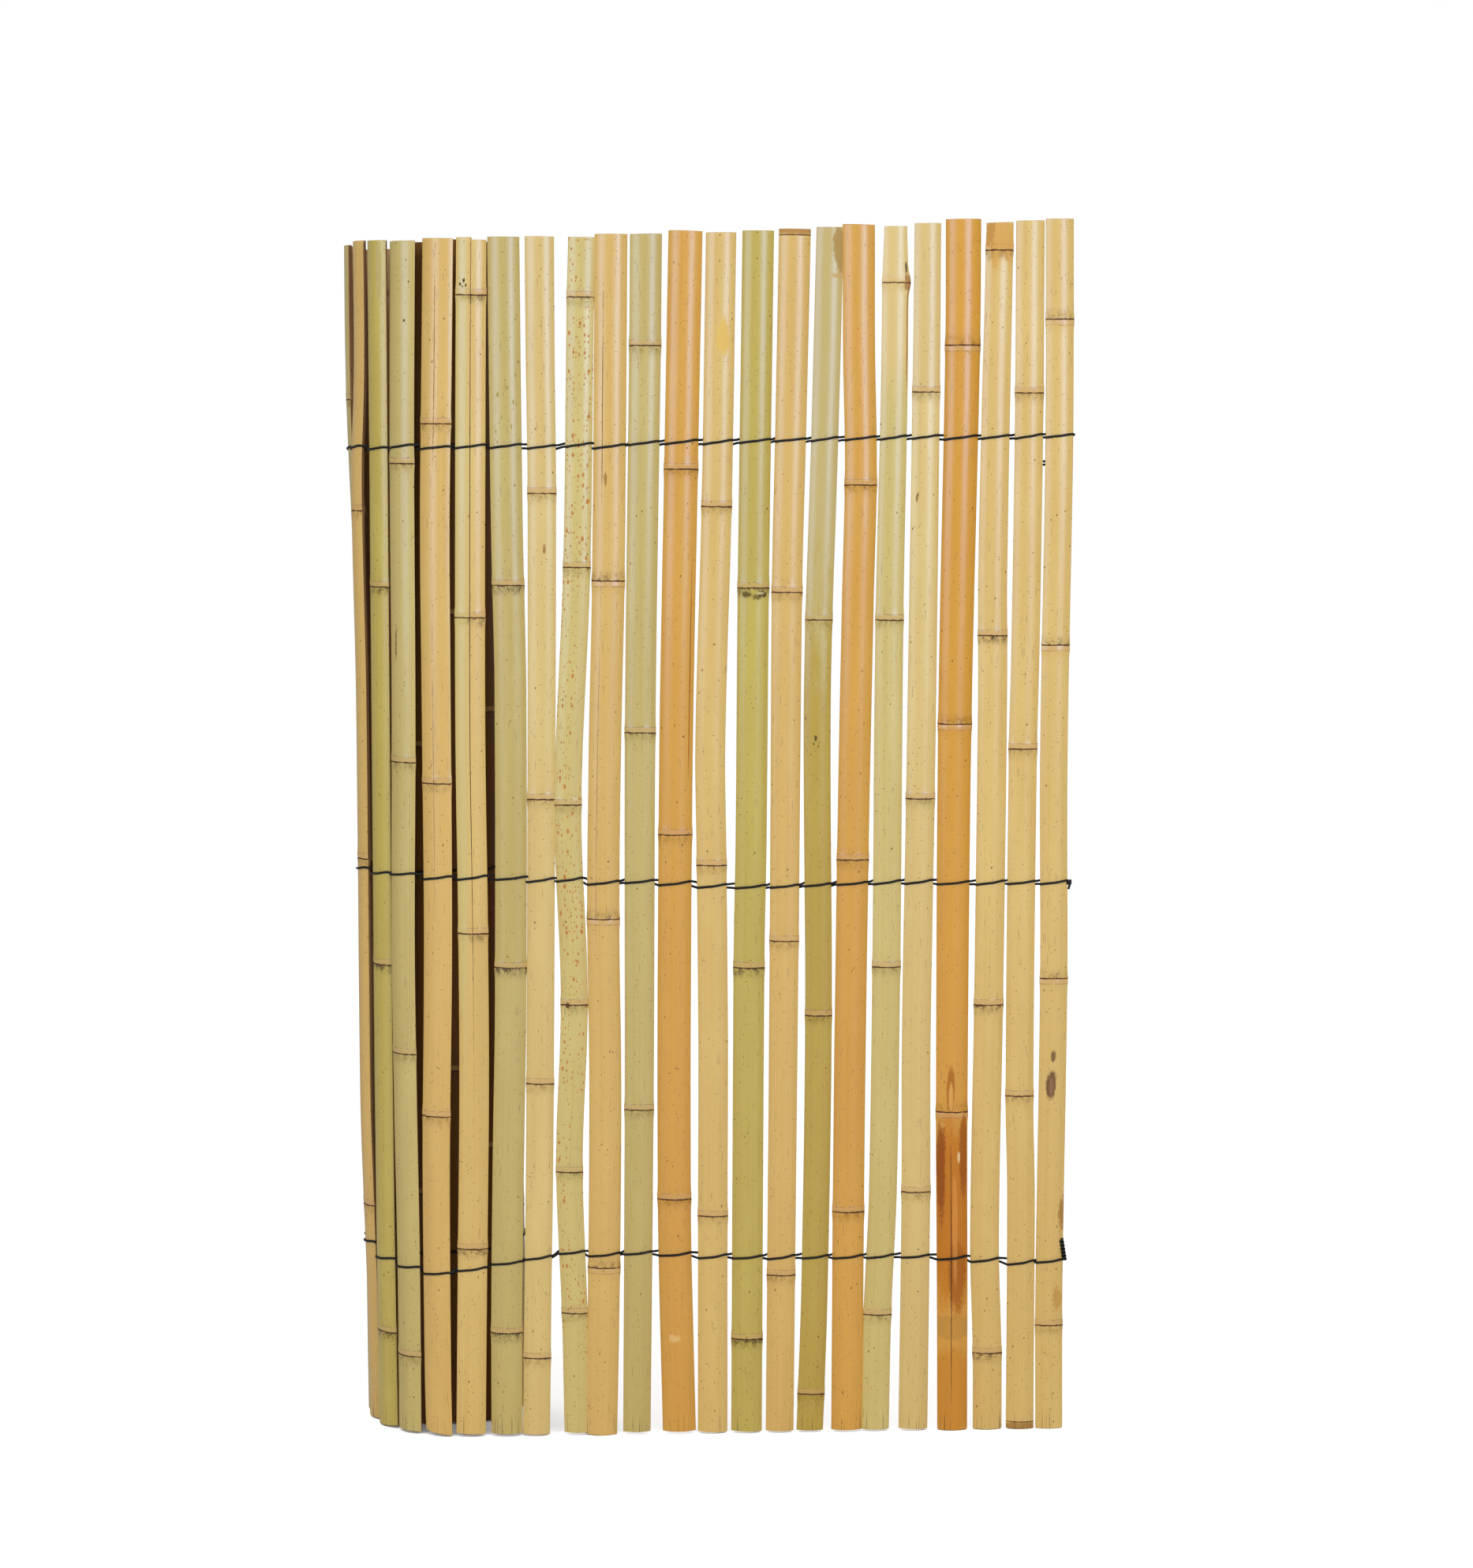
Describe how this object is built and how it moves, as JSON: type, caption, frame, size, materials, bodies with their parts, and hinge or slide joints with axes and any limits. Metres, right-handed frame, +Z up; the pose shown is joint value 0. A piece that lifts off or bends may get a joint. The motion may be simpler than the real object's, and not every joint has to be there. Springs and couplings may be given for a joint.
{
  "type": "bamboo screening mat",
  "caption": "Screening mat of split bamboo slats bound side by side by courses of twined wire, standing on the slat ends with a flat panel and one end rolled up behind it.",
  "frame": {"origin": "middle of the mat's plan, on the floor", "axes": "+X along the flat panel to its free end, -Y out of the panel's skin side, +Z up"},
  "size_m": [0.6091, 0.1761, 1.0073],
  "materials": {
    "bamboo_straw": "satin cane skin",
    "bamboo_green": "satin cane skin",
    "bamboo_tan": "satin cane skin",
    "binding_wire": "dull black coated wire"
  },
  "bodies": {
    "root": {"slat_01": "bamboo_straw", "slat_02": "bamboo_straw", "slat_03": "bamboo_straw", "slat_04": "bamboo_tan", "slat_05": "bamboo_straw", "slat_06": "bamboo_green", "slat_07": "bamboo_tan", "slat_08": "bamboo_green", "slat_09": "bamboo_straw", "slat_10": "bamboo_green", "slat_11": "bamboo_straw", "slat_12": "bamboo_tan", "slat_13": "bamboo_green", "slat_14": "bamboo_straw", "slat_15": "bamboo_green", "slat_16": "bamboo_straw", "slat_17": "bamboo_green", "slat_18": "bamboo_straw", "slat_19": "bamboo_tan", "slat_20": "bamboo_green", "slat_21": "bamboo_green", "slat_22": "bamboo_tan", "slat_23": "bamboo_green", "slat_24": "bamboo_straw", "slat_25": "bamboo_tan", "slat_26": "bamboo_straw", "slat_27": "bamboo_green", "slat_28": "bamboo_straw", "slat_29": "bamboo_tan", "slat_30": "bamboo_straw", "slat_31": "bamboo_green", "slat_32": "bamboo_straw", "slat_33": "bamboo_tan", "slat_34": "bamboo_straw", "upper_wire_a": "binding_wire", "upper_wire_b": "binding_wire", "middle_wire_a": "binding_wire", "middle_wire_b": "binding_wire", "lower_wire_a": "binding_wire", "lower_wire_b": "binding_wire"}
  },
  "joints": []
}
